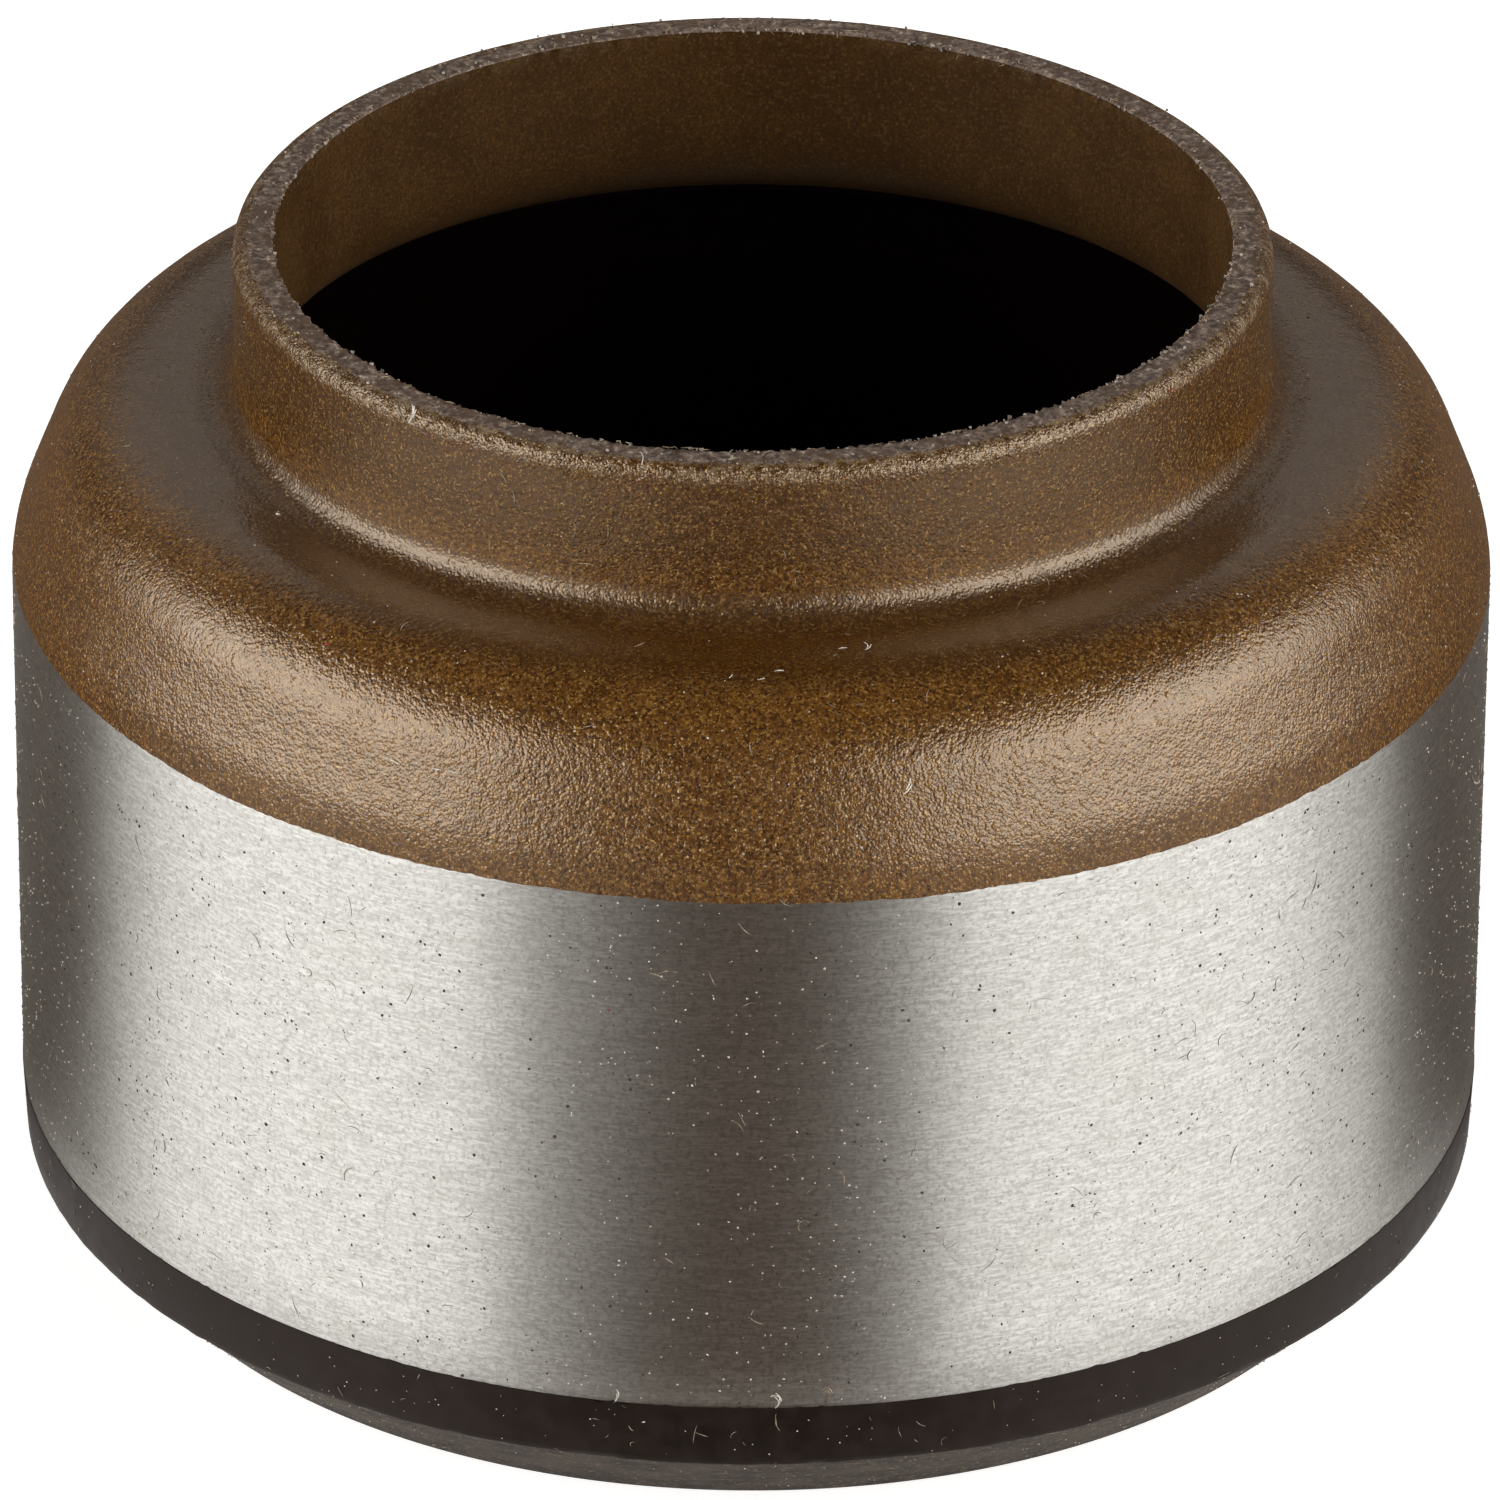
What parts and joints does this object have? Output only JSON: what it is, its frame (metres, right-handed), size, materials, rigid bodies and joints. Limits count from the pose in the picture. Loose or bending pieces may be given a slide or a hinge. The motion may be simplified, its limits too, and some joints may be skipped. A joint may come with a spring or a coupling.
{
  "type": "drive axle shaft seal",
  "caption": "Round shaft seal: drawn steel case with a narrow collar and domed shoulder, ground outside wall, bonded rubber lip element and garter spring.",
  "frame": {"origin": "centre of the flat bottom face of the rubber, on the axis of the seal", "axes": "+Z along the axis of the seal, from the rubber-covered end towards the collar"},
  "size_m": [0.052, 0.052, 0.0373],
  "materials": {
    "case_steel": "brown bonding coat on collar and shoulder, straight wall ground bright",
    "element_rubber": "smooth moulded black, chamfer rough and grey",
    "spring_steel": "drawn wire"
  },
  "bodies": {
    "root": {"outer_case": "case_steel", "sealing_element": "element_rubber", "garter_spring": "spring_steel"}
  },
  "joints": []
}
